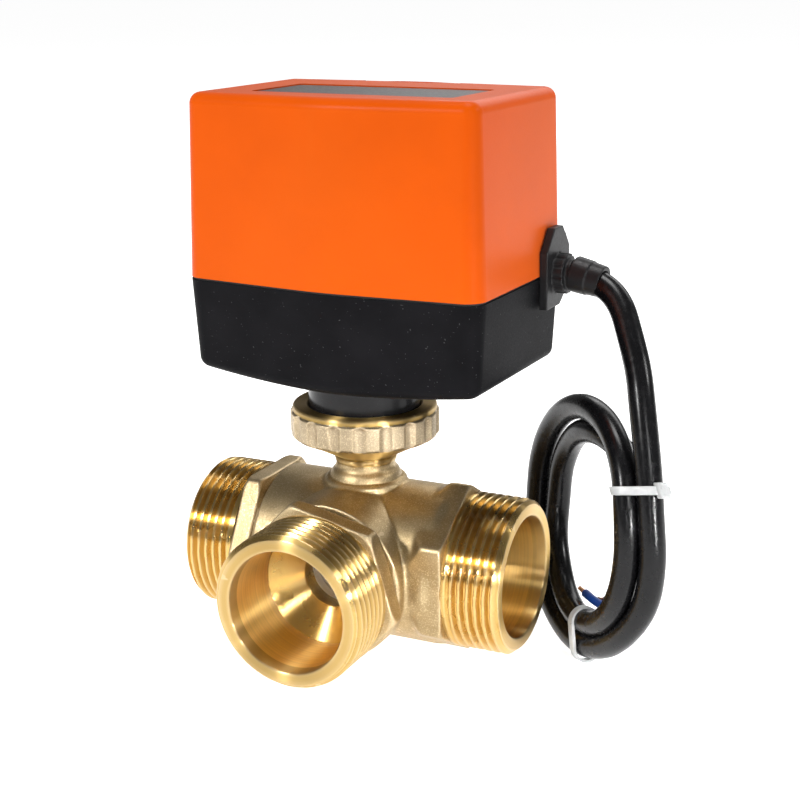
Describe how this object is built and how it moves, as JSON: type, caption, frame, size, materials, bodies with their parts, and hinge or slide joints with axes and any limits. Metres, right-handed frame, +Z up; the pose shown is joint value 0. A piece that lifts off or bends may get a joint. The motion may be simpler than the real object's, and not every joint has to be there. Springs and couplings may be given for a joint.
{
  "type": "zone valve",
  "caption": "Motorised brass diverting ball valve: three threaded ports, union nut and a clamped actuator box with its cable coiled and tied.",
  "frame": {"origin": "on the surface the valve stands on, under the centre of the box round the valve and its actuator, leaving out the cable and what is on it", "axes": "+X out of the right port along the run, -Y out of the front port, +Z up the stem towards the actuator's top"},
  "size_m": [0.139, 0.0869, 0.1508],
  "materials": {
    "brass_cast": "bead blasted cast brass, machined threads and bores",
    "brass_nut": "turned and blasted brass",
    "ball_chrome": "polished plated ball",
    "steel": "bright turned steel",
    "seat_ptfe": "white seat plastic",
    "rubber": "black elastomer",
    "cover_orange": "fine satin orange moulding",
    "base_black": "fine textured dark moulding",
    "label_dark": "dark printed film, left blank",
    "collar_black": "smooth glossy black moulding",
    "tab_orange": "satin orange moulding",
    "gland_black": "textured black moulding",
    "cable_jacket": "soft sheen black jacket, no printing",
    "tie_white": "translucent white nylon",
    "wire_blue": "blue insulation",
    "wire_brown": "brown insulation",
    "wire_black": "black insulation",
    "copper": "bare copper strands",
    "acetal": "natural gear plastic",
    "plate_steel": "pressed plated steel",
    "motor_can": "drawn steel can",
    "switch_plastic": "dark switch case",
    "board_green": "coated glass-fibre board",
    "terminal_green": "green terminal moulding",
    "capacitor_yellow": "dipped box capacitor",
    "relay_blue": "blue relay case"
  },
  "bodies": {
    "valve": {"valve_body": "brass_cast", "left_connector": "brass_cast", "front_connector": "brass_cast", "left_connector_seal": "rubber", "front_connector_seal": "rubber", "right_seat": "seat_ptfe", "left_seat": "seat_ptfe", "front_seat": "seat_ptfe", "thrust_washer": "seat_ptfe", "stem_packing": "seat_ptfe", "packing_nut": "brass_nut", "nut_retaining_ring": "steel", "cable_run": "cable_jacket", "cable_coil": "cable_jacket", "cable_tie_upper": "tie_white", "cable_tie_lower": "tie_white", "conductor_tips": "copper", "conductor_blue": "wire_blue", "conductor_brown": "wire_brown", "conductor_black": "wire_black", "cable_gland": "gland_black", "strain_relief": "gland_black", "actuator_cover": "cover_orange", "actuator_base": "base_black", "cover_gasket": "rubber", "label_panel": "label_dark", "base_collar": "collar_black", "release_tab": "tab_orange", "cover_screws": "steel", "output_bush": "acetal", "lower_gear_plate": "plate_steel", "upper_gear_plate": "plate_steel", "plate_pillars": "steel", "board_pillars": "steel", "plate_screws": "steel", "motor": "motor_can", "idler_axle": "steel", "front_limit_switch": "switch_plastic", "back_limit_switch": "switch_plastic", "circuit_board": "board_green", "terminal_block": "terminal_green", "motor_capacitor": "capacitor_yellow", "relay": "relay_blue"},
    "ball_and_stem": {"ball": "ball_chrome", "stem": "steel", "stem_o_rings": "rubber"},
    "output_drive": {"output_shaft": "steel", "output_gear": "acetal", "switch_cam": "acetal"},
    "idler": {"idler_gear": "acetal"},
    "motor_pinion": {"motor_pinion": "steel"},
    "union_nut": {"union_nut": "brass_nut"},
    "front_switch_lever": {"front_switch_lever": "steel"},
    "back_switch_lever": {"back_switch_lever": "steel"}
  },
  "joints": [
    {"name": "ball_turn", "type": "hinge", "parent": "valve", "child": "ball_and_stem", "pos_m": [0, 0.00842, 0.0238], "axis": [0, 0, 1], "range_deg": [-90, 0]},
    {"name": "output_turn", "type": "hinge", "parent": "valve", "child": "output_drive", "pos_m": [0, 0.00842, 0.0888], "axis": [0, 0, 1], "range_deg": [-90, 0]},
    {"name": "idler_spin", "type": "hinge", "parent": "valve", "child": "idler", "pos_m": [0.02079, 0.00769, 0.0938], "axis": [0, 0, 1], "range_deg": [0, 300]},
    {"name": "pinion_spin", "type": "hinge", "parent": "valve", "child": "motor_pinion", "pos_m": [0.0295, 0.0248, 0.0963], "axis": [0, 0, 1], "range_deg": [-900, 0]},
    {"name": "nut_turn", "type": "hinge", "parent": "valve", "child": "union_nut", "pos_m": [0, 0.00842, 0.0618], "axis": [0, 0, 1], "continuous": true},
    {"name": "front_lever_tilt", "type": "hinge", "parent": "valve", "child": "front_switch_lever", "pos_m": [-0.00788, -0.00381, 0.1044], "axis": [0, 0, 1], "range_deg": [0, 4], "stiffness_Nm_per_rad": 0.002},
    {"name": "back_lever_tilt", "type": "hinge", "parent": "valve", "child": "back_switch_lever", "pos_m": [-0.00701, 0.02117, 0.1074], "axis": [0, 0, 1], "range_deg": [-4, 0], "stiffness_Nm_per_rad": 0.002}
  ],
  "couplings": [
    {"joint": "output_turn", "follows": "ball_turn", "ratio": 1},
    {"joint": "idler_spin", "follows": "ball_turn", "ratio": -3.3333},
    {"joint": "pinion_spin", "follows": "ball_turn", "ratio": 10}
  ]
}
